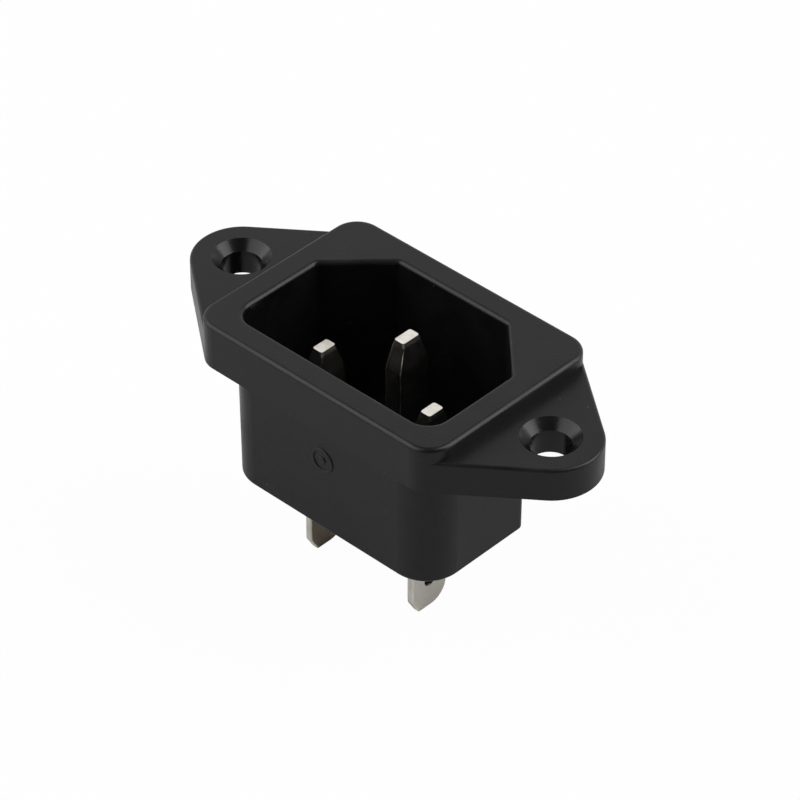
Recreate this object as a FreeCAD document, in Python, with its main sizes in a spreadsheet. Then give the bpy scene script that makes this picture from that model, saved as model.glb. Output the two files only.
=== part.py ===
import FreeCAD, Part
import math
import os
import Sketcher

# Screw-mounted mains inlet socket: one moulded housing and three contacts.
# Frame: origin at the centre of the flange's rear face, which seats on the panel.
# +X runs along the line of the two screw holes, +Y towards the earth pin, and +Z out of the mouth.
# All lengths are in millimetres and all angles in degrees.

SIZES = [
    ("cavity_length", 25.2, "mouth of the cavity along the long axis"),
    ("cavity_width", 16.7, "mouth of the cavity across the short axis"),
    ("cavity_cut", 5.6, "leg of the two cut corners on the earth side"),
    ("cavity_corner", 2.2, "radius of the two corners on the live side"),
    ("cavity_cut_round", 0.6, "radius where a cut corner meets a wall"),
    ("cavity_depth", 16.2, "mouth to floor"),
    ("cavity_draft", 0.5, "draft of the cavity walls"),
    ("mouth_round", 0.45, "rounding of the mouth's edge"),
    ("rim_end_wall", 2.85, "cavity's mouth to the rim's end"),
    ("rim_side_wall", 2.85, "cavity's mouth to the rim's long side"),
    ("rim_corner", 2.7, "outer corner radius of the rim"),
    ("rim_rise", 1.5, "height of the rim above the ears"),
    ("rim_edge_round", 0.45, "rounding of the rim's outer front edge"),
    ("flange_thickness", 3.5, "flange at the ears"),
    ("hole_from_rim", 4.55, "rim's end to a screw hole's centre"),
    ("screw_hole", 4.0, "diameter of a screw hole"),
    ("sink_step", 0.95, "countersink beyond the screw hole, each side"),
    ("sink_angle", 90.0, "included angle of the countersink"),
    ("ear_wall", 2.05, "countersink to the ear's edge"),
    ("ear_edge_round", 0.3, "rounding of the front edge of an ear"),
    ("body_end_wall", 0.95, "cavity's mouth to the rear body's end"),
    ("body_side_wall", 1.05, "cavity's mouth to the rear body's long side"),
    ("body_cut_wall", 1.35, "cavity's cut corner to the rear body's"),
    ("body_corner", 4.0, "radius of the rear body's other two corners"),
    ("body_cut_round", 0.8, "radius where a cut corner meets a side"),
    ("body_draft", 0.5, "draft of the rear body's sides"),
    ("body_edge_round", 0.3, "rounding of the rear body's back edge"),
    ("floor_thickness", 2.5, "cavity's floor to the back"),
    ("pin_pitch", 14.0, "line pin to neutral pin"),
    ("live_offset", 2.0, "line and neutral pins from the hole line"),
    ("earth_offset", 2.0, "earth pin from the hole line, the other way"),
    ("pin_width", 4.0, "pin across the short axis"),
    ("pin_thickness", 2.0, "pin along the long axis"),
    ("pin_edge_round", 0.25, "rounding of a pin's long edges"),
    ("live_tip_sunk", 4.4, "line and neutral pin tips below the rim's face"),
    ("earth_tip_sunk", 1.8, "earth pin tip below the rim's face"),
    ("live_taper_inset", 0.9, "taper of a live pin's narrow side"),
    ("earth_taper_inset", 0.75, "taper of the earth pin's narrow side"),
    ("side_taper_inset", 0.25, "taper of a pin's wide side"),
    ("tip_taper", 3.0, "height of a pin's tapered tip"),
    ("tip_bevel", 0.15, "bevel round the end of a pin"),
    ("tip_bevel_height", 0.45, "height of that bevel"),
    ("slot_clearance", 0.05, "gap round a contact in its slot, each side"),
    ("shoulder_ledge", 0.2, "shoulder beyond its tab, each way across the short axis"),
    ("shoulder_step", 0.5, "shoulder beyond its pin, each way along the long axis"),
    ("shoulder_height", 1.0, "contact's shoulder, let in flush with the back"),
    ("shoulder_corner", 0.3, "corner radius of a shoulder"),
    ("tab_width", 4.7, "rear tab across the short axis"),
    ("tab_thickness", 0.8, "rear tab along the long axis"),
    ("tab_length", 9.6, "rear tab behind the rear body"),
    ("tab_shift", 0.38, "line and neutral tabs out from their pins, across the short axis"),
    ("tab_inset", 0.2, "line and neutral tabs in from their pins, along the long axis"),
    ("tab_nose", 0.85, "cut corner of a tab's end, across the tab"),
    ("tab_nose_height", 1.8, "cut corner of a tab's end, along the tab"),
    ("tab_nose_round", 0.9, "radius where a tab's side meets its cut corner"),
    ("tab_end_round", 0.15, "radius where the cut corner meets a tab's end"),
    ("tab_far_round", 2.1, "radius of the other corner of a tab's end"),
    ("tab_corner", 0.3, "radius of the corners at a tab's root"),
    ("tab_edge_break", 0.1, "bevel of a tab's stamped edges"),
    ("tab_dimple", 1.2, "diameter of the detent dimples in a tab's two faces"),
    ("tab_dimple_depth", 0.25, "depth of a detent dimple"),
    ("tab_dimple_back", 3.3, "detent dimples' centre from the tab's end"),
]

OUT_OF_PAGE = FreeCAD.Vector(0, 0, 1)
DIAGONAL = math.sqrt(2)
CORNER_SHARE = DIAGONAL - 1
CLOSE = 1e-4


class Size:
    """A length with its number and the sheet expression that gives the same number."""

    def __init__(self, number, text):
        self.number = number
        self.text = text

    def joined(self, other, sign, number):
        if isinstance(other, Size):
            return Size(number, f"({self.text} {sign} {other.text})")
        return Size(number, f"({self.text} {sign} {other!r})")

    def __add__(self, other):
        return self.joined(other, "+", self.number + plain(other))

    def __sub__(self, other):
        return self.joined(other, "-", self.number - plain(other))

    def __mul__(self, other):
        return self.joined(other, "*", self.number * plain(other))

    def __truediv__(self, other):
        return self.joined(other, "/", self.number / plain(other))

    def __neg__(self):
        return Size(-self.number, f"(0 - {self.text})")


NOTHING = Size(0.0, "0")


def plain(value):
    return value.number if isinstance(value, Size) else value


def fill_sheet(doc):
    """Writes the driving sizes into a spreadsheet, and returns them and what follows from them by name."""
    sheet = doc.addObject("Spreadsheet::Sheet", "Sizes")
    for row, (alias, number, note) in enumerate(SIZES, start=1):
        sheet.set(f"A{row}", alias)
        sheet.set(f"B{row}", str(number))
        sheet.set(f"C{row}", note)
        sheet.setAlias(f"B{row}", alias)
    doc.recompute()
    size = {alias: Size(float(sheet.get(alias)), f"Sizes.{alias}") for alias, _, _ in SIZES}
    size["rim_face"] = size["flange_thickness"] + size["rim_rise"]
    size["rim_length"] = size["cavity_length"] + size["rim_end_wall"] * 2
    size["flange_width"] = size["cavity_width"] + size["rim_side_wall"] * 2
    size["hole_x"] = size["rim_length"] / 2 + size["hole_from_rim"]
    size["screw_sink"] = size["screw_hole"] + size["sink_step"] * 2
    size["body_length"] = size["cavity_length"] + size["body_end_wall"] * 2
    size["body_width"] = size["cavity_width"] + size["body_side_wall"] * 2
    size["body_cut"] = (size["cavity_cut"] + size["body_end_wall"] + size["body_side_wall"]
                        - size["body_cut_wall"] * DIAGONAL)
    size["body_depth"] = size["cavity_depth"] + size["floor_thickness"] - size["rim_face"]
    size["shoulder_width"] = size["tab_width"] + (size["tab_shift"] + size["shoulder_ledge"]) * 2
    size["shoulder_length"] = size["pin_thickness"] + size["shoulder_step"] * 2
    return size


def drive(target, prop, size):
    target.setExpression(prop, size.text)


def new_sketch(body, name, plane, height=NOTHING):
    """A sketch on one of the body's own origin planes, lifted along the plane's normal."""
    sketch = body.newObject("Sketcher::SketchObject", name)
    origin_plane = [item for item in body.Origin.OriginFeatures if item.Role == plane][0]
    sketch.AttachmentSupport = (origin_plane, [""])
    sketch.MapMode = "FlatFace"
    sketch.AttachmentOffset = FreeCAD.Placement(FreeCAD.Vector(0, 0, height.number), FreeCAD.Rotation())
    drive(sketch, "AttachmentOffset.Base.z", height)
    return sketch


def hold(sketch, kind, name, first, second, size):
    """Adds a driving distance between two points, kept positive by its direction."""
    if size.number < 0:
        first, second, size = second, first, -size
    index = sketch.addConstraint(Sketcher.Constraint(kind, *first, *second, size.number))
    sketch.renameConstraint(index, name)
    drive(sketch, f"Constraints.{name}", size)


def hold_round(sketch, name, curve, centre_x, centre_y, radius):
    """Drives the radius and the centre of an arc or a circle."""
    index = sketch.addConstraint(Sketcher.Constraint("Radius", curve, radius.number))
    sketch.renameConstraint(index, f"{name}_radius")
    drive(sketch, f"Constraints.{name}_radius", radius)
    hold(sketch, "DistanceX", f"{name}_x", (-1, 1), (curve, 3), centre_x)
    hold(sketch, "DistanceY", f"{name}_y", (-1, 1), (curve, 3), centre_y)


def tangent_normal(start, end):
    """Outward normal of the straight side that runs from one round to the next, anticlockwise."""
    (x0, y0, r0), (x1, y1, r1) = start, end
    reach = math.hypot(x1 - x0, y1 - y0)
    along = FreeCAD.Vector((x1 - x0) / reach, (y1 - y0) / reach, 0)
    across = FreeCAD.Vector(along.y, -along.x, 0)
    lean = (r0 - r1) / reach
    return along * lean + across * math.sqrt(1 - lean * lean)


def add_outline(sketch, tag, rounds):
    """A closed outline that wraps the given rounds anticlockwise with tangent straight sides."""
    numbers = [(x.number, y.number, r.number) for x, y, r in rounds]
    count = len(numbers)
    normals = [tangent_normal(numbers[i], numbers[(i + 1) % count]) for i in range(count)]
    curves = []
    for i, (x, y, radius) in enumerate(numbers):
        centre = FreeCAD.Vector(x, y, 0)
        before, after = normals[i - 1], normals[i]
        first = math.atan2(before.y, before.x)
        last = math.atan2(after.y, after.x)
        if last < first:
            last += 2 * math.pi
        arc = Part.ArcOfCircle(Part.Circle(centre, OUT_OF_PAGE, radius), first, last)
        following = numbers[(i + 1) % count]
        far_centre = FreeCAD.Vector(following[0], following[1], 0)
        side = Part.LineSegment(centre + after * radius, far_centre + after * following[2])
        curves.append((sketch.addGeometry(arc, False), sketch.addGeometry(side, False)))
    for i, (arc, side) in enumerate(curves):
        sketch.addConstraint(Sketcher.Constraint("Tangent", arc, 2, side, 1))
        sketch.addConstraint(Sketcher.Constraint("Tangent", side, 2, curves[(i + 1) % count][0], 1))
    for i, ((arc, _), (x, y, radius)) in enumerate(zip(curves, rounds)):
        hold_round(sketch, f"{tag}_{i}", arc, x, y, radius)


def add_circle(sketch, name, centre_x, centre_y, radius):
    centre = FreeCAD.Vector(centre_x.number, centre_y.number, 0)
    curve = sketch.addGeometry(Part.Circle(centre, OUT_OF_PAGE, radius.number), False)
    hold_round(sketch, name, curve, centre_x, centre_y, radius)


def box_rounds(length, width, radius, centre=(NOTHING, NOTHING)):
    """Corner rounds of a rectangle about a centre, anticlockwise from the near right one."""
    middle_x, middle_y = centre
    x = length / 2 - radius
    y = width / 2 - radius
    return [(middle_x + x, middle_y - y, radius), (middle_x + x, middle_y + y, radius),
            (middle_x - x, middle_y + y, radius), (middle_x - x, middle_y - y, radius)]


def socket_rounds(length, width, cut, near_round, cut_round):
    """Rounds of the inlet's outline: two plain corners on the live side, two cut ones on the earth side."""
    near_x = length / 2 - near_round
    near_y = -(width / 2 - near_round)
    side_x = length / 2 - cut_round
    side_y = width / 2 - cut - cut_round * CORNER_SHARE
    top_x = length / 2 - cut - cut_round * CORNER_SHARE
    top_y = width / 2 - cut_round
    return [(near_x, near_y, near_round), (side_x, side_y, cut_round), (top_x, top_y, cut_round),
            (-top_x, top_y, cut_round), (-side_x, side_y, cut_round), (-near_x, near_y, near_round)]


def pad(body, sketch, name, length, reverse=False, taper=NOTHING):
    feature = body.newObject("PartDesign::Pad", name)
    feature.Profile = sketch
    feature.Reversed = reverse
    drive(feature, "Length", length)
    drive(feature, "TaperAngle", taper)
    return feature


def pocket(body, sketch, name, length, reverse=False, taper=NOTHING):
    feature = body.newObject("PartDesign::Pocket", name)
    feature.Profile = sketch
    feature.Reversed = reverse
    drive(feature, "Length", length)
    drive(feature, "TaperAngle", taper)
    return feature


def trim_edges(body, kind, name, size_name, size, chosen):
    """A fillet or chamfer on the edges of the body's last feature that the test picks."""
    body.Document.recompute()
    base = body.Tip
    edges = [f"Edge{i}" for i, edge in enumerate(base.Shape.Edges, start=1) if chosen(edge.BoundBox)]
    feature = body.newObject(kind, name)
    feature.Base = (base, edges)
    drive(feature, size_name, size)
    return feature


def lies_at(low, high, place):
    return abs(low - place.number) < CLOSE and abs(high - place.number) < CLOSE


def within(box, length, width):
    """Whether an edge lies inside a rectangle about the frame's axis, seen along Z."""
    in_length = max(-box.XMin, box.XMax) < length.number / 2 + CLOSE
    in_width = max(-box.YMin, box.YMax) < width.number / 2 + CLOSE
    return in_length and in_width


def contact_places(size):
    """The centre of each contact's pin, seen along Z."""
    across = size["pin_pitch"] / 2
    return {
        "line_contact": (-across, -size["live_offset"]),
        "neutral_contact": (across, -size["live_offset"]),
        "earth_contact": (NOTHING, size["earth_offset"]),
    }


def add_flange(body, size):
    """The plate with its two ears, whose sides run straight from the rim's corners."""
    corner_x = size["rim_length"] / 2 - size["rim_corner"]
    corner_y = size["flange_width"] / 2 - size["rim_corner"]
    ear_round = size["screw_sink"] / 2 + size["ear_wall"]
    sketch = new_sketch(body, "FlangeOutline", "XY_Plane")
    add_outline(sketch, "flange", [
        (corner_x, -corner_y, size["rim_corner"]), (size["hole_x"], NOTHING, ear_round),
        (corner_x, corner_y, size["rim_corner"]), (-corner_x, corner_y, size["rim_corner"]),
        (-size["hole_x"], NOTHING, ear_round), (-corner_x, -corner_y, size["rim_corner"])])
    pad(body, sketch, "Flange", size["flange_thickness"])
    trim_edges(body, "PartDesign::Fillet", "EarEdge", "Radius", size["ear_edge_round"],
               lambda box: lies_at(box.ZMin, box.ZMax, size["flange_thickness"]))


def add_rim(body, size):
    sketch = new_sketch(body, "RimOutline", "XY_Plane")
    add_outline(sketch, "rim", box_rounds(size["rim_length"], size["flange_width"], size["rim_corner"]))
    pad(body, sketch, "Rim", size["rim_face"])
    trim_edges(body, "PartDesign::Fillet", "RimEdge", "Radius", size["rim_edge_round"],
               lambda box: lies_at(box.ZMin, box.ZMax, size["rim_face"]))


def add_rear_body(body, size):
    sketch = new_sketch(body, "RearOutline", "XY_Plane")
    add_outline(sketch, "rear", socket_rounds(
        size["body_length"], size["body_width"], size["body_cut"], size["body_corner"],
        size["body_cut_round"]))
    pad(body, sketch, "RearBody", size["body_depth"], reverse=True, taper=-size["body_draft"])
    trim_edges(body, "PartDesign::Fillet", "BackEdge", "Radius", size["body_edge_round"],
               lambda box: lies_at(box.ZMin, box.ZMax, -size["body_depth"]))


def add_cavity(body, size):
    sketch = new_sketch(body, "CavityOutline", "XY_Plane", size["rim_face"])
    add_outline(sketch, "cavity", socket_rounds(
        size["cavity_length"], size["cavity_width"], size["cavity_cut"], size["cavity_corner"],
        size["cavity_cut_round"]))
    pocket(body, sketch, "Cavity", size["cavity_depth"], taper=-size["cavity_draft"])
    trim_edges(body, "PartDesign::Fillet", "MouthEdge", "Radius", size["mouth_round"],
               lambda box: lies_at(box.ZMin, box.ZMax, size["rim_face"])
               and within(box, size["cavity_length"], size["cavity_width"]))


def add_contact_seats(body, size):
    """A shoulder recess in the back and a slot through the floor for each contact."""
    gap = size["slot_clearance"] * 2
    corner = size["shoulder_corner"] + size["slot_clearance"]
    edge = size["pin_edge_round"] + size["slot_clearance"]
    recesses = new_sketch(body, "ShoulderRecesses", "XY_Plane", -size["body_depth"])
    slots = new_sketch(body, "PinSlots", "XY_Plane", -size["body_depth"])
    for name, place in contact_places(size).items():
        add_outline(recesses, name, box_rounds(
            size["shoulder_length"] + gap, size["shoulder_width"] + gap, corner, place))
        add_outline(slots, name, box_rounds(size["pin_thickness"] + gap, size["pin_width"] + gap, edge, place))
    pocket(body, recesses, "Recesses", size["shoulder_height"], reverse=True)
    through = pocket(body, slots, "Slots", size["body_depth"], reverse=True)
    through.Type = "ThroughAll"


def add_screw_holes(body, size):
    """The two countersunk holes in the ears."""
    sketch = new_sketch(body, "ScrewHoles", "XY_Plane", size["flange_thickness"])
    for name, side in (("left", -1), ("right", 1)):
        add_circle(sketch, name, size["hole_x"] * side, NOTHING, size["screw_hole"] / 2)
    body.Document.recompute()
    holes = body.newObject("PartDesign::Hole", "Countersunk")
    holes.Profile = sketch
    body.Document.recompute()
    holes.ThreadType = "None"
    holes.DepthType = "ThroughAll"
    holes.HoleCutType = "Countersink"
    holes.HoleCutCustomValues = True
    drive(holes, "Diameter", size["screw_hole"])
    drive(holes, "HoleCutDiameter", size["screw_sink"])
    drive(holes, "HoleCutCountersinkAngle", size["sink_angle"])


def build_housing(doc, size):
    """The one-piece moulding: flange with two ears, raised rim, rear body and socket cavity."""
    body = doc.addObject("PartDesign::Body", "Housing")
    body.Label = "housing"
    add_flange(body, size)
    add_rim(body, size)
    add_rear_body(body, size)
    add_cavity(body, size)
    add_contact_seats(body, size)
    add_screw_holes(body, size)
    return body


def add_pin(body, size, tip, narrow_inset):
    """The straight pin and its tapered, bevelled tip."""
    length = size["pin_thickness"]
    width = size["pin_width"]
    edge = size["pin_edge_round"]
    side_inset = size["side_taper_inset"]
    bevel = size["tip_bevel"]
    sections = []
    for name, height, drop_length, drop_width in (
            ("TaperStart", tip - size["tip_taper"], NOTHING, NOTHING),
            ("TaperEnd", tip - size["tip_bevel_height"], side_inset, narrow_inset),
            ("TipFace", tip, side_inset + bevel, narrow_inset + bevel)):
        sketch = new_sketch(body, name, "XY_Plane", height)
        add_outline(sketch, "pin", box_rounds(length - drop_length * 2, width - drop_width * 2, edge))
        sections.append(sketch)
    pad(body, sections[0], "Pin", tip - size["tip_taper"] + size["body_depth"], reverse=True)
    tip_loft = body.newObject("PartDesign::AdditiveLoft", "PinTip")
    tip_loft.Profile = sections[0]
    tip_loft.Sections = sections[1:]
    tip_loft.Ruled = True


def add_shoulder(body, size):
    sketch = new_sketch(body, "ShoulderOutline", "XY_Plane", -size["body_depth"])
    add_outline(sketch, "shoulder", box_rounds(
        size["shoulder_length"], size["shoulder_width"], size["shoulder_corner"]))
    pad(body, sketch, "Shoulder", size["shoulder_height"])


def add_tab(body, size, shift, inset):
    """The flat tab behind the shoulder, one end corner cut, the other round, and a dimple in each face."""
    top = -size["body_depth"] + size["shoulder_height"] / 2
    end = -size["body_depth"] - size["tab_length"]
    corner = size["tab_corner"]
    end_round = size["tab_end_round"]
    nose_round = size["tab_nose_round"]
    far_round = size["tab_far_round"]
    half = size["tab_thickness"] / 2
    end_x = size["tab_width"] / 2 - size["tab_nose"] - end_round
    far_x = size["tab_width"] / 2 - far_round
    side_x = size["tab_width"] / 2 - nose_round
    top_x = size["tab_width"] / 2 - corner
    nose_top = end + size["tab_nose_height"]
    sketch = new_sketch(body, "TabOutline", "YZ_Plane", inset)
    add_outline(sketch, "tab", [
        (shift - end_x, end + end_round, end_round), (shift + far_x, end + far_round, far_round),
        (shift + top_x, top - corner, corner), (shift - top_x, top - corner, corner),
        (shift - side_x, nose_top, nose_round)])
    tab = pad(body, sketch, "Tab", size["tab_thickness"])
    tab.SideType = "Symmetric"
    faces = (inset - half, inset + half)
    for side, face in zip(("Back", "Front"), faces):
        sketch = new_sketch(body, f"{side}Detent", "YZ_Plane", face)
        add_circle(sketch, "detent", shift, end + size["tab_dimple_back"], size["tab_dimple"] / 2)
        pocket(body, sketch, f"{side}Dimple", size["tab_dimple_depth"], reverse=side == "Back")
    trim_edges(body, "PartDesign::Chamfer", "TabEdge", "Size", size["tab_edge_break"],
               lambda box: any(lies_at(box.XMin, box.XMax, face) for face in faces)
               and box.ZMax < -size["body_depth"].number - CLOSE)


def build_contact(doc, size, label, tip_sunk, narrow_inset, tab_shift, tab_inset):
    """One contact in one piece: a pin, a shoulder let into the back, and a tab."""
    body = doc.addObject("PartDesign::Body", label.title().replace("_", ""))
    body.Label = label
    tip = size["rim_face"] - tip_sunk
    add_pin(body, size, tip, narrow_inset)
    add_shoulder(body, size)
    add_tab(body, size, tab_shift, tab_inset)
    place_x, place_y = contact_places(size)[label]
    drive(body, "Placement.Base.x", place_x)
    drive(body, "Placement.Base.y", place_y)
    return body


def check_and_write(doc, bodies):
    """Stops on any failed feature or bad solid, then writes one file for each piece."""
    doc.recompute()
    for item in doc.Objects:
        if "Invalid" in item.State or "Error" in item.State:
            raise RuntimeError(f"{item.Name} failed: {item.State}")
    for body in bodies:
        if body.Shape.isNull() or not body.Shape.isValid() or len(body.Shape.Solids) != 1:
            raise RuntimeError(f"{body.Label} is not one valid solid")
    os.makedirs("parts", exist_ok=True)
    for body in bodies:
        body.Shape.exportStep(f"parts/{body.Label}.step")
        print(f"{body.Label}: {body.Shape.Volume:.2f} mm3")


def main():
    doc = FreeCAD.newDocument("InletSocket")
    size = fill_sheet(doc)
    live = (size["live_tip_sunk"], size["live_taper_inset"], -size["tab_shift"])
    earth = (size["earth_tip_sunk"], size["earth_taper_inset"], NOTHING)
    inset = size["tab_inset"]
    bodies = [
        build_housing(doc, size),
        build_contact(doc, size, "line_contact", *live, inset),
        build_contact(doc, size, "neutral_contact", *live, -inset),
        build_contact(doc, size, "earth_contact", *earth, NOTHING),
    ]
    check_and_write(doc, bodies)


main()
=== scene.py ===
"""Screw-mounted mains inlet socket: its finishes, a moulded mark and a white studio."""
import math

import bmesh
import bpy
from bpy.props import FloatProperty, FloatVectorProperty, PointerProperty
from mathutils import Matrix, Vector


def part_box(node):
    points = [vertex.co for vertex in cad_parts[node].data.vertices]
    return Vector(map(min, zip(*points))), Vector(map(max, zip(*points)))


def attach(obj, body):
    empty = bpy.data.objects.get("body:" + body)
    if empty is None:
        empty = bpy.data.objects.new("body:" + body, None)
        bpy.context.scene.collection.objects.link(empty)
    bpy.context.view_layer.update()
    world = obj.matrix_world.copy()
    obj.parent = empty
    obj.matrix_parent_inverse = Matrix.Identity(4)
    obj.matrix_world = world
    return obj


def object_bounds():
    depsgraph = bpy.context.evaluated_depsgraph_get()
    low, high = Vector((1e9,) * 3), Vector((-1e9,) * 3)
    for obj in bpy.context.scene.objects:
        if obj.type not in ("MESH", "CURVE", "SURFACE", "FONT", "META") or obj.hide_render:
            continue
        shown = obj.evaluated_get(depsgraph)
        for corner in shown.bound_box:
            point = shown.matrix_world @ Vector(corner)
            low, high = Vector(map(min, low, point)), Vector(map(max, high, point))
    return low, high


bl_info = {
    "name": "Mains inlet socket",
    "version": (1, 0, 0),
    "blender": (4, 5, 0),
    "location": "View3D > Sidebar > Inlet",
    "description": "Finishes a mains inlet socket's housing and contacts and sets its studio",
    "category": "Object",
}

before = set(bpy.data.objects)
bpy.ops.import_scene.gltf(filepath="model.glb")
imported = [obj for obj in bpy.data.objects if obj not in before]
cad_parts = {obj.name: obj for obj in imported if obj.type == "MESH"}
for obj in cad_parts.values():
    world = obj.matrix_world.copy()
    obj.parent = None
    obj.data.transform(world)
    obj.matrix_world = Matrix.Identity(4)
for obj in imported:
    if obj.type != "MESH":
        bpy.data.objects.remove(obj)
CAD_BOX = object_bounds()

MM = 0.001
BODY = "root"
HOUSING = "housing"
CONTACTS = ("line_contact", "neutral_contact", "earth_contact")
HOUSING_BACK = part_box(HOUSING)[0].z
TABS_END = min(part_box(name)[0].z for name in CONTACTS)
RING_SIDES = 64
CROWN_SHARE = 0.8
CROWN_STEPS = 3
ALONG_STRIP = (1, 1, 0.04)
FLOW_SHINE, FLOW_DULL = 0.04, 0.05
TARNISH_DULL = 0.1
SPOT_EDGE = (0.98, 1.04)
TAB_FADE = 0.5 * MM
FLAT_FACING = (0.6, 0.9)
FLOOR_ROUGHNESS = 0.9
SENSOR_WIDTH = 36
NEAREST_SEEN = 0.01
KEY_BOX = Vector((0.582, 0.520, 0.625))
SIDE_BOX = Vector((-0.536, -0.625, 0.567))
BACKDROP = Vector((-0.687, 0.727, 0.0))


class InletFinish(bpy.types.PropertyGroup):
    plastic_colour: FloatVectorProperty(
        name="Plastic colour", description="Base colour of the moulded housing",
        subtype="COLOR", size=4, min=0, max=1, default=(0.0034, 0.0034, 0.0038, 1))
    plastic_tint: FloatVectorProperty(
        name="Plastic tint", description="Colour that the flow of the moulding shifts to",
        subtype="COLOR", size=4, min=0, max=1, default=(0.0052, 0.0052, 0.0058, 1))
    plastic_roughness: FloatProperty(
        name="Plastic roughness", description="Mean roughness of the moulded housing",
        subtype="FACTOR", min=0, max=1, default=0.37)
    plastic_gloss: FloatProperty(
        name="Plastic gloss", description="Strength of the plastic's reflection, 0.5 being usual",
        subtype="FACTOR", min=0, max=1, default=0.24)
    core_roughness: FloatProperty(
        name="Core roughness", description="Roughness in the cavity, which a polished core moulds",
        subtype="FACTOR", min=0, max=1, default=0.2)
    cavity_size: FloatVectorProperty(
        name="Cavity size", description="Length and width of the cavity at its mouth",
        unit="LENGTH", size=2, default=(25.2 * MM, 16.7 * MM))
    screw_pitch: FloatProperty(
        name="Screw pitch", description="Screw hole to screw hole", unit="LENGTH", default=40 * MM)
    screw_sink: FloatProperty(
        name="Screw sink", description="Radius of the countersinks at the ears' faces",
        unit="LENGTH", default=2.95 * MM)
    screw_polish: FloatProperty(
        name="Screw polish", description="How close the screw holes come to the cavity's polish",
        subtype="FACTOR", min=0, max=1, default=0.7)
    speck_colour: FloatVectorProperty(
        name="Speck colour", description="Colour of the pale specks in the plastic",
        subtype="COLOR", size=4, min=0, max=1, default=(0.09, 0.09, 0.09, 1))
    grain_size: FloatProperty(
        name="Grain size", description="Width of one grain of the moulded texture",
        unit="LENGTH", default=0.26 * MM)
    grain_depth: FloatProperty(
        name="Grain depth", description="Depth of the moulded texture",
        unit="LENGTH", default=0.011 * MM)
    flow_size: FloatProperty(
        name="Flow size", description="Width of the soft marks that the melt leaves", unit="LENGTH",
        default=3.5 * MM)
    nickel_colour: FloatVectorProperty(
        name="Nickel colour", description="Base colour of the plated contacts",
        subtype="COLOR", size=4, min=0, max=1, default=(0.88, 0.85, 0.79, 1))
    nickel_tarnish: FloatVectorProperty(
        name="Nickel tarnish", description="Colour of the duller, warmer patches of the plating",
        subtype="COLOR", size=4, min=0, max=1, default=(0.70, 0.66, 0.58, 1))
    # Painted shade: the neutral and earth tabs' wide faces get this darker, browner colour, which
    # dims the reflection in them.
    tab_painted_shade: FloatVectorProperty(
        name="Tab colour", description="Colour of the duller faces of the neutral and earth tabs",
        subtype="COLOR", size=4, min=0, max=1, default=(0.71, 0.685, 0.62, 1))
    # Painted shade: the line contact's tab gets this dark brown on its wide faces, standing in for
    # the shadowed floor under the housing that they reflect.
    line_tab_painted_shade: FloatVectorProperty(
        name="Line tab shade", description="Colour of the browned faces of the line contact's tab",
        subtype="COLOR", size=4, min=0, max=1, default=(0.29, 0.246, 0.185, 1))
    # Painted shade: the tabs' dimples get this near black, standing in for the shade in the recess.
    dimple_painted_shade: FloatVectorProperty(
        name="Dimple colour", description="Colour of the dark residue in the tabs' dimples",
        subtype="COLOR", size=4, min=0, max=1, default=(0.02, 0.018, 0.016, 1))
    dimple_radius: FloatProperty(
        name="Dimple radius", description="Radius of a tab's dimple",
        unit="LENGTH", default=0.72 * MM)
    dimple_back: FloatProperty(
        name="Dimple back", description="Dimple's centre from the tab's end",
        unit="LENGTH", default=3.3 * MM)
    nickel_roughness: FloatProperty(
        name="Nickel roughness", description="Mean roughness of the plated contacts",
        subtype="FACTOR", min=0, max=1, default=0.17)
    tarnish_size: FloatProperty(
        name="Tarnish size", description="Width of one tarnished patch",
        unit="LENGTH", default=1.6 * MM)
    stamped_line: FloatProperty(
        name="Stamped line", description="Width of the fine lines left by stamping", unit="LENGTH",
        default=0.05 * MM)
    stamped_depth: FloatProperty(
        name="Stamped depth", description="Depth of those lines",
        unit="LENGTH", default=0.0012 * MM)
    speck_size: FloatProperty(
        name="Speck size", description="Spacing of the pale specks in the plastic", unit="LENGTH",
        default=1.3 * MM)


class InletMarks(bpy.types.PropertyGroup):
    mark_along: FloatProperty(
        name="Mark along", description="Centre of the moulded ring along the near side",
        unit="LENGTH", default=-0.16 * MM)
    mark_height: FloatProperty(
        name="Mark height", description="Centre of the moulded ring from the panel face",
        unit="LENGTH", default=-5.2 * MM)
    mark_radius: FloatProperty(
        name="Mark radius", description="Outer radius of the moulded ring",
        unit="LENGTH", default=1.4 * MM)
    mark_line: FloatProperty(
        name="Mark line", description="Width of the ring's raised line",
        unit="LENGTH", default=0.32 * MM)
    mark_rise: FloatProperty(
        name="Mark rise", description="Height of the raised ring", unit="LENGTH", default=0.1 * MM)
    mark_dot: FloatProperty(
        name="Mark dot", description="Radius of the raised dot in the ring",
        unit="LENGTH", default=0.42 * MM)


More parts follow.
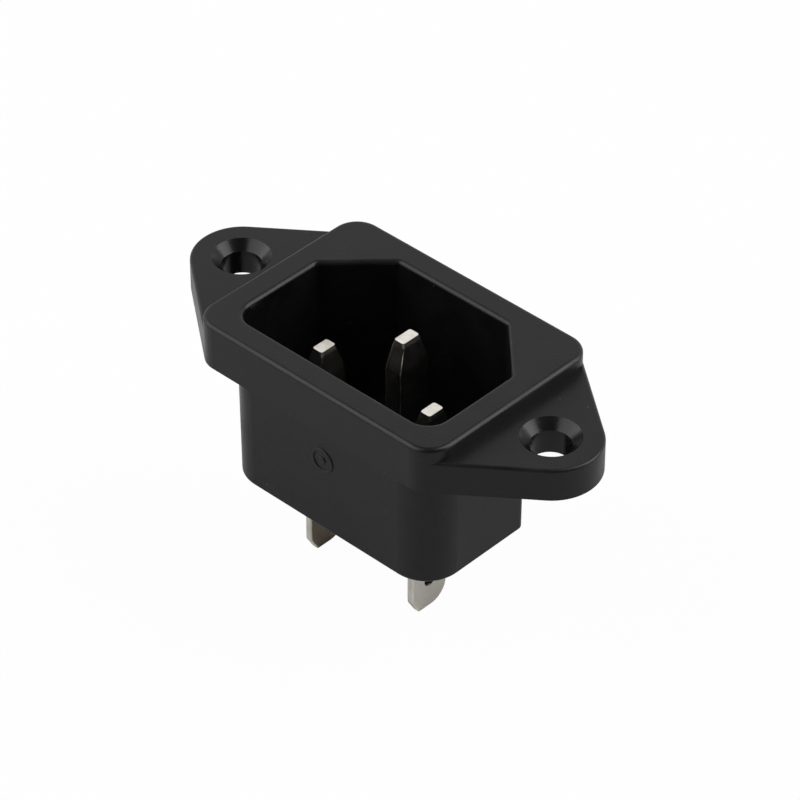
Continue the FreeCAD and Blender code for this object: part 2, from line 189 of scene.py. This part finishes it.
class InletStudio(bpy.types.PropertyGroup):
    floor_colour: FloatVectorProperty(
        name="Floor colour", description="Base colour of the floor",
        subtype="COLOR", size=4, min=0, max=1, default=(0.5, 0.5, 0.5, 1))
    fill_strength: FloatProperty(
        name="Fill strength", description="Brightness of the room all round", default=0.1)
    backdrop_strength: FloatProperty(
        name="Backdrop strength", description="Extra brightness low behind the socket", default=2.0)
    backdrop_spread: FloatProperty(
        name="Backdrop spread", description="How far the backdrop comes round to the front",
        default=0.3)
    key_strength: FloatProperty(
        name="Key strength", description="Radiance of the softbox at the far right", default=4.8)
    side_strength: FloatProperty(
        name="Side strength", description="Radiance of the softbox at the near left", default=3.0)
    floor_glow: FloatProperty(
        name="Floor glow", description="Share of the floor's look that is even white", default=0.97)
    floor_reach: FloatProperty(
        name="Floor reach", description="Half the width of the floor", unit="LENGTH", default=2.0)
    box_distance: FloatProperty(
        name="Softbox distance", description="Softbox to socket", unit="LENGTH", default=0.8)
    key_size: FloatVectorProperty(
        name="Key size", description="Width and height of the softbox at the far right",
        unit="LENGTH", size=2, default=(0.5, 1.1))
    side_size: FloatVectorProperty(
        name="Side size", description="Width and height of the softbox at the near left",
        unit="LENGTH", size=2, default=(1.1, 0.9))
    camera_azimuth: FloatProperty(
        name="Camera azimuth", description="Turn of the camera about Z, from the live side",
        subtype="ANGLE", default=math.radians(43.425))
    camera_elevation: FloatProperty(
        name="Camera elevation", description="Height of the camera as an angle",
        subtype="ANGLE", default=math.radians(38.689))
    camera_distance: FloatProperty(
        name="Camera distance", description="Camera to the point it looks at",
        unit="LENGTH", default=0.38648)
    camera_target: FloatVectorProperty(
        name="Camera target", description="Point that the camera looks at",
        subtype="TRANSLATION", unit="LENGTH", size=3, default=(0.003358, -0.002468, 0.0))
    camera_lens: FloatProperty(
        name="Camera lens", description="Focal length in millimetres on a 36 mm sensor",
        default=185.93)


def new_group(name, inputs, outputs):
    """An empty shader node group with number inputs (name, default) and outputs (name, kind)."""
    group = bpy.data.node_groups.new(name, "ShaderNodeTree")
    for label, default in inputs:
        socket = group.interface.new_socket(label, in_out="INPUT", socket_type="NodeSocketFloat")
        socket.default_value = default
    for label, kind in outputs:
        group.interface.new_socket(label, in_out="OUTPUT", socket_type=kind)
    return group, group.nodes.new("NodeGroupInput"), group.nodes.new("NodeGroupOutput")


def add_math(tree, operation, first, second):
    """A Math node on two sockets or numbers, and its result."""
    node = tree.nodes.new("ShaderNodeMath")
    node.operation = operation
    for socket, value in zip(node.inputs, (first, second)):
        if isinstance(value, bpy.types.NodeSocket):
            tree.links.new(value, socket)
        else:
            socket.default_value = value
    return node.outputs["Value"]


def add_vector_math(tree, operation, first, second=(0, 0, 0)):
    """A Vector Math node on a socket and a fixed vector, and its result."""
    node = tree.nodes.new("ShaderNodeVectorMath")
    node.operation = operation
    tree.links.new(first, node.inputs[0])
    node.inputs[1].default_value = second
    return node.outputs["Value" if operation in ("LENGTH", "DOT_PRODUCT") else "Vector"]


def object_place(tree):
    """The place on the object that a texture reads."""
    return tree.nodes.new("ShaderNodeTexCoord").outputs["Object"]


def split_place(tree, place):
    """The X, Y and Z of a place, by name."""
    split = tree.nodes.new("ShaderNodeSeparateXYZ")
    tree.links.new(place, split.inputs["Vector"])
    return split.outputs


def add_noise(tree, scale, detail, stretch=(1, 1, 1)):
    """Noise on object coordinates, its scale a socket in grains per metre."""
    mapping = tree.nodes.new("ShaderNodeMapping")
    mapping.inputs["Scale"].default_value = stretch
    tree.links.new(object_place(tree), mapping.inputs["Vector"])
    noise = tree.nodes.new("ShaderNodeTexNoise")
    noise.inputs["Detail"].default_value = detail
    tree.links.new(mapping.outputs["Vector"], noise.inputs["Vector"])
    tree.links.new(scale, noise.inputs["Scale"])
    return noise.outputs["Fac"]


def make_grain_group():
    """Fine grain of a textured mould: a height in metres."""
    group, given, out = new_group("fine_grain", [("Size", 0.0001), ("Depth", 0.000004)],
                                  [("Height", "NodeSocketFloat")])
    fine = add_noise(group, add_math(group, "DIVIDE", 1.0, given.outputs["Size"]), detail=3.0)
    height = add_math(group, "MULTIPLY", fine, given.outputs["Depth"])
    group.links.new(height, out.inputs["Height"])
    return group


def make_line_group():
    """Fine lines along Z, as a die leaves them on strip: a height in metres."""
    group, given, out = new_group("stamped_lines", [("Width", 0.0001), ("Depth", 0.000001)],
                                  [("Height", "NodeSocketFloat")])
    fineness = add_math(group, "DIVIDE", 1.0, given.outputs["Width"])
    lines = add_noise(group, fineness, detail=2.0, stretch=ALONG_STRIP)
    height = add_math(group, "MULTIPLY", lines, given.outputs["Depth"])
    group.links.new(height, out.inputs["Height"])
    return group


def make_speck_group():
    """Sparse small specks: a mask that is 1 at the middle of each one that shows."""
    group, given, out = new_group(
        "sparse_specks", [("Spacing", 0.001), ("Radius", 0.08), ("Share", 0.3)],
        [("Mask", "NodeSocketFloat")])
    cells = group.nodes.new("ShaderNodeTexVoronoi")
    group.links.new(object_place(group), cells.inputs["Vector"])
    group.links.new(add_math(group, "DIVIDE", 1.0, given.outputs["Spacing"]), cells.inputs["Scale"])
    ramp = group.nodes.new("ShaderNodeMapRange")
    ramp.inputs["To Min"].default_value = 1.0
    ramp.inputs["To Max"].default_value = 0.0
    group.links.new(cells.outputs["Distance"], ramp.inputs["Value"])
    group.links.new(given.outputs["Radius"], ramp.inputs["From Max"])
    split = group.nodes.new("ShaderNodeSeparateColor")
    group.links.new(cells.outputs["Color"], split.inputs["Color"])
    shown = add_math(group, "LESS_THAN", split.outputs["Red"], given.outputs["Share"])
    group.links.new(add_math(group, "MULTIPLY", ramp.outputs["Result"], shown), out.inputs["Mask"])
    return group


def make_patch_group():
    """Soft uneven patches: a mask from 0 to 1 whose cover and sharpness can be set."""
    group, given, out = new_group(
        "uneven_patches", [("Size", 0.003), ("Cover", 0.5), ("Softness", 0.3)],
        [("Mask", "NodeSocketFloat")])
    patches = add_noise(group, add_math(group, "DIVIDE", 1.0, given.outputs["Size"]), detail=4.0)
    level = add_math(group, "SUBTRACT", 1.0, given.outputs["Cover"])
    ramp = group.nodes.new("ShaderNodeMapRange")
    ramp.interpolation_type = "SMOOTHSTEP"
    half = add_math(group, "MULTIPLY", given.outputs["Softness"], 0.5)
    group.links.new(patches, ramp.inputs["Value"])
    group.links.new(add_math(group, "SUBTRACT", level, half), ramp.inputs["From Min"])
    group.links.new(add_math(group, "ADD", level, half), ramp.inputs["From Max"])
    group.links.new(ramp.outputs["Result"], out.inputs["Mask"])
    return group


def make_inside_group():
    """The inside of an upright box about the origin, open at its foot: a mask with a soft top."""
    group, given, out = new_group(
        "inside_box", [("Half length", 0.01), ("Half width", 0.01), ("Top", 0.0), ("Soft", 0.0005)],
        [("Mask", "NodeSocketFloat")])
    place = split_place(group, object_place(group))
    along = add_math(group, "ABSOLUTE", place["X"], 0.0)
    across = add_math(group, "ABSOLUTE", place["Y"], 0.0)
    along = add_math(group, "LESS_THAN", along, given.outputs["Half length"])
    across = add_math(group, "LESS_THAN", across, given.outputs["Half width"])
    inside = add_math(group, "MULTIPLY", along, across)
    depth = add_math(group, "SUBTRACT", given.outputs["Top"], place["Z"])
    depth = add_math(group, "DIVIDE", depth, given.outputs["Soft"])
    depth = add_math(group, "MINIMUM", add_math(group, "MAXIMUM", depth, 0.0), 1.0)
    group.links.new(add_math(group, "MULTIPLY", inside, depth), out.inputs["Mask"])
    return group


GROUP_MAKERS = {
    "fine_grain": make_grain_group,
    "stamped_lines": make_line_group,
    "sparse_specks": make_speck_group,
    "uneven_patches": make_patch_group,
    "inside_box": make_inside_group,
}


def place_group(tree, name, **values):
    """Places a shared effect in a material, and returns its one output."""
    node = tree.nodes.new("ShaderNodeGroup")
    node.node_tree = bpy.data.node_groups.get(name) or GROUP_MAKERS[name]()
    for label, value in values.items():
        node.inputs[label.replace("_", " ")].default_value = value
    return node.outputs[0]


def new_material(name):
    """An empty node material with its node tree and its shader."""
    material = bpy.data.materials.new(name)
    material.use_nodes = True
    return material, material.node_tree, material.node_tree.nodes["Principled BSDF"]


def spread_value(tree, value, low, high, start=0.0, end=1.0):
    """Maps a value from start and end to low and high."""
    ramp = tree.nodes.new("ShaderNodeMapRange")
    limits = (("From Min", start), ("From Max", end), ("To Min", low), ("To Max", high))
    for label, number in limits:
        ramp.inputs[label].default_value = number
    tree.links.new(value, ramp.inputs["Value"])
    return ramp.outputs["Result"]


def mix_colours(tree, mask, first, second):
    """Two colours or colour sockets, mixed by a mask."""
    mix = tree.nodes.new("ShaderNodeMix")
    mix.data_type = "RGBA"
    for label, colour in (("A", first), ("B", second)):
        socket = [item for item in mix.inputs if item.name == label and item.type == "RGBA"][0]
        if isinstance(colour, bpy.types.NodeSocket):
            tree.links.new(colour, socket)
        else:
            socket.default_value = colour
    tree.links.new(mask, mix.inputs["Factor"])
    return [item for item in mix.outputs if item.type == "RGBA"][0]


def add_bump(tree, height, shader):
    """Turns a height in metres into the shader's normal."""
    bump = tree.nodes.new("ShaderNodeBump")
    bump.inputs["Distance"].default_value = 1.0
    tree.links.new(height, bump.inputs["Height"])
    tree.links.new(bump.outputs["Normal"], shader.inputs["Normal"])


def make_plastic(finish):
    """Satin black moulded plastic: fine grain, soft flow marks and a few pale specks."""
    material, tree, shader = new_material("black_plastic_moulded")
    shader.inputs["Specular IOR Level"].default_value = finish.plastic_gloss
    flow = place_group(tree, "uneven_patches", Size=finish.flow_size, Cover=0.5, Softness=0.35)
    specks = place_group(tree, "sparse_specks", Spacing=finish.speck_size, Radius=0.07, Share=0.25)
    shade = mix_colours(tree, flow, finish.plastic_colour, finish.plastic_tint)
    colour = mix_colours(tree, specks, shade, finish.speck_colour)
    tree.links.new(colour, shader.inputs["Base Color"])
    rough = spread_value(tree, flow, finish.plastic_roughness - FLOW_SHINE,
                         finish.plastic_roughness + FLOW_DULL)
    length, width = finish.cavity_size
    cavity = place_group(tree, "inside_box", Half_length=length / 2, Half_width=width / 2,
                         Top=CAD_BOX[1].z)
    place = add_vector_math(tree, "ABSOLUTE", object_place(tree))
    middle = (finish.screw_pitch / 2, 0, 0)
    screw = add_round_spot(tree, place, middle, (1, 1, 0), finish.screw_sink)
    core = add_math(tree, "MAXIMUM", cavity,
                    add_math(tree, "MULTIPLY", screw, finish.screw_polish))
    smooth = add_math(tree, "MULTIPLY", core, finish.core_roughness)
    outer = add_math(tree, "MULTIPLY", add_math(tree, "SUBTRACT", 1.0, core), rough)
    tree.links.new(add_math(tree, "ADD", smooth, outer), shader.inputs["Roughness"])
    grain = place_group(tree, "fine_grain", Size=finish.grain_size, Depth=finish.grain_depth)
    add_bump(tree, grain, shader)
    return material


def add_tab_faces(tree, tab_top):
    """A mask of the wide flat faces of a tab, which take painted shade, leaving its stamped edges
    and the pin bare.
    """
    height = split_place(tree, object_place(tree))["Z"]
    below = spread_value(tree, height, 1.0, 0.0, tab_top - TAB_FADE, tab_top)
    turned = split_place(tree, tree.nodes.new("ShaderNodeTexCoord").outputs["Normal"])["X"]
    turned = add_math(tree, "ABSOLUTE", turned, 0.0)
    return add_math(tree, "MULTIPLY", below, spread_value(tree, turned, 0.0, 1.0, *FLAT_FACING))


def add_round_spot(tree, place, centre, facing, radius):
    """A mask of a round spot about a centre, seen along the axis that facing leaves out."""
    offset = add_vector_math(tree, "SUBTRACT", place, centre)
    away = add_vector_math(tree, "LENGTH", add_vector_math(tree, "MULTIPLY", offset, facing))
    within, beyond = SPOT_EDGE
    return spread_value(tree, away, 1.0, 0.0, radius * within, radius * beyond)


def make_nickel(finish, name, tab_y, tab_painted_shade):
    """Nickel plating: fine stamping lines, warmer patches, painted shade on the tab's wide faces
    and painted shade in its dimple.
    """
    material, tree, shader = new_material(name)
    shader.inputs["Metallic"].default_value = 1.0
    patches = place_group(tree, "uneven_patches", Size=finish.tarnish_size, Cover=0.45,
                          Softness=0.6)
    colour = mix_colours(tree, patches, finish.nickel_colour, finish.nickel_tarnish)
    # Painted shade on the tab's wide faces.
    colour = mix_colours(tree, add_tab_faces(tree, HOUSING_BACK), colour, tab_painted_shade)
    middle = (0, tab_y, TABS_END + finish.dimple_back)
    # Painted shade: a near-black spot in the dimple.
    spot = add_round_spot(tree, object_place(tree), middle, (0, 1, 1), finish.dimple_radius)
    colour = mix_colours(tree, spot, colour, finish.dimple_painted_shade)
    tree.links.new(colour, shader.inputs["Base Color"])
    rough = spread_value(tree, patches, finish.nickel_roughness,
                         finish.nickel_roughness + TARNISH_DULL)
    tree.links.new(rough, shader.inputs["Roughness"])
    lines = place_group(tree, "stamped_lines", Width=finish.stamped_line,
                        Depth=finish.stamped_depth)
    add_bump(tree, lines, shader)
    return material


def tab_middle(name):
    """The middle of a contact's tab across the socket, from the tab's own vertices."""
    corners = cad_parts[name].data.vertices
    across = [corner.co.y for corner in corners if corner.co.z < HOUSING_BACK - MM]
    return (min(across) + max(across)) / 2


def dress(name, material):
    """Puts a material on a solid of the frame."""
    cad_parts[name].material_slots[0].material = material


def add_piece(context, name, build):
    """Turns a bmesh into an object at the origin, with its faces pointing outwards."""
    bmesh.ops.recalc_face_normals(build, faces=build.faces)
    mesh = bpy.data.meshes.new(name)
    build.to_mesh(mesh)
    build.free()
    piece = bpy.data.objects.new(name, mesh)
    context.collection.objects.link(piece)
    return piece


class InletOperator:
    bl_options = {"REGISTER", "UNDO"}


class INLET_OT_finish_housing(InletOperator, bpy.types.Operator):
    """Gives the housing its satin black moulded plastic"""
    bl_idname = "inlet.finish_housing"
    bl_label = "Finish housing"

    def execute(self, context):
        dress(HOUSING, make_plastic(context.scene.inlet_finish))
        return {"FINISHED"}


class INLET_OT_finish_contacts(InletOperator, bpy.types.Operator):
    """Gives the three contacts their nickel plating"""
    bl_idname = "inlet.finish_contacts"
    bl_label = "Finish contacts"

    def execute(self, context):
        finish = context.scene.inlet_finish
        for name in CONTACTS:
            # The line tab's wide faces take a darker painted shade than the other tabs'.
            tab_painted_shade = finish.line_tab_painted_shade if name == "line_contact" else finish.tab_painted_shade
            dress(name, make_nickel(finish, f"nickel_plated_{name}", tab_middle(name), tab_painted_shade))
        return {"FINISHED"}


class INLET_OT_mould_mark(InletOperator, bpy.types.Operator):
    """Raises the small plain ring and its dot on the near side of the rear body"""
    bl_idname = "inlet.mould_mark"
    bl_label = "Mould mark"

    def execute(self, context):
        marks = context.scene.inlet_marks
        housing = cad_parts[HOUSING]
        start = Vector((marks.mark_along, CAD_BOX[0].y * 2, marks.mark_height))
        hit, seat, outward, _ = housing.ray_cast(start, Vector((0, 1, 0)))
        if not hit:
            raise RuntimeError("the ring found no side of the housing to sit on")
        build = bmesh.new()
        seated = Matrix.Translation(seat) @ outward.to_track_quat("Z", "Y").to_matrix().to_4x4()
        inner = marks.mark_radius - marks.mark_line
        self.raise_band(build, seated, marks.mark_radius, inner, marks.mark_rise)
        self.raise_band(build, seated, marks.mark_dot, 0.0, marks.mark_rise)
        ring = add_piece(context, "moulded_ring", build)
        ring.data.materials.append(housing.material_slots[0].material)
        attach(ring, BODY)
        return {"FINISHED"}

    def raise_band(self, build, seated, outer, inner, rise):
        """Adds a closed band, or a dot when inner is nothing, sunk as deep as it is raised."""
        old = set(build.verts)
        bmesh.ops.create_circle(build, segments=RING_SIDES, radius=outer, cap_ends=inner == 0.0)
        if inner:
            bmesh.ops.create_circle(build, segments=RING_SIDES, radius=inner)
            bmesh.ops.bridge_loops(build, edges=[e for e in build.edges if e.verts[0] not in old])
        faces = [face for face in build.faces if face.verts[0] not in old]
        walls = bmesh.ops.extrude_face_region(build, geom=faces, use_keep_orig=True)
        lifted = [item for item in walls["geom"] if isinstance(item, bmesh.types.BMVert)]
        bmesh.ops.translate(build, vec=(0, 0, rise * 2), verts=lifted)
        crown = [edge for edge in build.edges if edge.verts[0] in lifted and edge.verts[1] in lifted
                 and len({round(vert.co.xy.length, 7) for vert in edge.verts}) == 1]
        bmesh.ops.bevel(build, geom=crown, offset=rise * CROWN_SHARE, segments=CROWN_STEPS,
                        profile=0.5, affect="EDGES", material=-1)
        new = [vert for vert in build.verts if vert not in old]
        bmesh.ops.transform(build, matrix=seated @ Matrix.Translation((0, 0, -rise)), verts=new)


class INLET_OT_set_stage(InletOperator, bpy.types.Operator):
    """Sets the floor, the soft light and the camera"""
    bl_idname = "inlet.set_stage"
    bl_label = "Set stage"

    def execute(self, context):
        studio = context.scene.inlet_studio
        self.add_floor(context, studio)
        self.add_room(context, studio)
        for name, direction, size, strength in (
                ("key_softbox", KEY_BOX, studio.key_size, studio.key_strength),
                ("side_softbox", SIDE_BOX, studio.side_size, studio.side_strength)):
            self.add_softbox(context, name, direction, size, strength, studio.box_distance)
        self.add_camera(context, studio)
        context.scene.view_settings.view_transform = "Standard"
        return {"FINISHED"}

    def add_floor(self, context, studio):
        """A pale floor under the tabs that the camera sees near white, with a faint shadow."""
        mesh = bpy.data.meshes.new("floor")
        build = bmesh.new()
        bmesh.ops.create_grid(build, x_segments=1, y_segments=1, size=studio.floor_reach)
        bmesh.ops.translate(build, vec=(0, 0, TABS_END), verts=build.verts)
        build.to_mesh(mesh)
        build.free()
        floor = bpy.data.objects.new("floor", mesh)
        context.collection.objects.link(floor)
        material, tree, shader = new_material("floor_white")
        shader.inputs["Base Color"].default_value = studio.floor_colour
        shader.inputs["Roughness"].default_value = FLOOR_ROUGHNESS
        glow = tree.nodes.new("ShaderNodeEmission")
        glow.inputs["Strength"].default_value = 1.0
        path = tree.nodes.new("ShaderNodeLightPath").outputs["Is Camera Ray"]
        mix = tree.nodes.new("ShaderNodeMixShader")
        tree.links.new(add_math(tree, "MULTIPLY", path, studio.floor_glow), mix.inputs["Fac"])
        tree.links.new(shader.outputs["BSDF"], mix.inputs[1])
        tree.links.new(glow.outputs["Emission"], mix.inputs[2])
        tree.links.new(mix.outputs["Shader"], tree.nodes["Material Output"].inputs["Surface"])
        mesh.materials.append(material)

    def add_room(self, context, studio):
        """White to the camera, and for light a dim room that brightens low behind the socket."""
        world = bpy.data.worlds.new("studio_room")
        world.use_nodes = True
        tree = world.node_tree
        sky = tree.nodes["Background"]
        sky.inputs["Color"].default_value = (1, 1, 1, 1)
        towards = tree.nodes.new("ShaderNodeTexCoord").outputs["Generated"]
        facing = add_vector_math(tree, "DOT_PRODUCT", towards, BACKDROP)
        height = add_math(tree, "ABSOLUTE", split_place(tree, towards)["Z"], 0.0)
        low = add_math(tree, "SUBTRACT", 1.0, height)
        spread = add_math(tree, "ADD", facing, studio.backdrop_spread)
        behind = add_math(tree, "MAXIMUM", spread, 0.0)
        glow = add_math(tree, "MULTIPLY", behind, low)
        glow = add_math(tree, "MULTIPLY", glow, studio.backdrop_strength)
        room = add_math(tree, "MINIMUM", add_math(tree, "ADD", glow, studio.fill_strength), 1.0)
        path = tree.nodes.new("ShaderNodeLightPath").outputs["Is Camera Ray"]
        tree.links.new(add_math(tree, "MAXIMUM", room, path), sky.inputs["Strength"])
        context.scene.world = world

    def add_softbox(self, context, name, direction, size, radiance, distance):
        """A rectangular light of even radiance that faces the socket."""
        data = bpy.data.lights.new(name, "AREA")
        data.shape = "RECTANGLE"
        data.size, data.size_y = size
        data.energy = radiance * math.pi * data.size * data.size_y
        light = bpy.data.objects.new(name, data)
        context.collection.objects.link(light)
        light.location = direction * distance
        light.rotation_euler = direction.to_track_quat("Z", "Y").to_euler()

    def add_camera(self, context, studio):
        """The camera, placed by its two angles about the point it looks at."""
        azimuth, elevation = studio.camera_azimuth, studio.camera_elevation
        level = math.cos(elevation)
        back = Vector((math.sin(azimuth) * level, -math.cos(azimuth) * level, math.sin(elevation)))
        data = bpy.data.cameras.new("camera")
        data.lens = studio.camera_lens
        data.sensor_width = SENSOR_WIDTH
        data.clip_start = NEAREST_SEEN
        camera = bpy.data.objects.new("camera", data)
        context.collection.objects.link(camera)
        camera.location = Vector(studio.camera_target) + back * studio.camera_distance
        camera.rotation_euler = back.to_track_quat("Z", "Y").to_euler()
        context.scene.camera = camera


class INLET_PT_panel(bpy.types.Panel):
    """Lists the steps that dress the socket"""
    bl_idname = "INLET_PT_panel"
    bl_label = "Mains inlet socket"
    bl_space_type = "VIEW_3D"
    bl_region_type = "UI"
    bl_category = "Inlet"

    def draw(self, context):
        for step in STEPS:
            self.layout.operator(step.bl_idname)


STEPS = (INLET_OT_finish_housing, INLET_OT_finish_contacts, INLET_OT_mould_mark, INLET_OT_set_stage)
CLASSES = (InletFinish, InletMarks, InletStudio, *STEPS, INLET_PT_panel)


def register():
    for item in CLASSES:
        bpy.utils.register_class(item)
    bpy.types.Scene.inlet_finish = PointerProperty(type=InletFinish)
    bpy.types.Scene.inlet_marks = PointerProperty(type=InletMarks)
    bpy.types.Scene.inlet_studio = PointerProperty(type=InletStudio)


def unregister():
    del bpy.types.Scene.inlet_studio
    del bpy.types.Scene.inlet_marks
    del bpy.types.Scene.inlet_finish
    for item in reversed(CLASSES):
        bpy.utils.unregister_class(item)


def main():
    register()
    bpy.ops.inlet.finish_housing()
    bpy.ops.inlet.finish_contacts()
    bpy.ops.inlet.mould_mark()
    bpy.ops.inlet.set_stage()


if __name__ == "__main__":
    main()
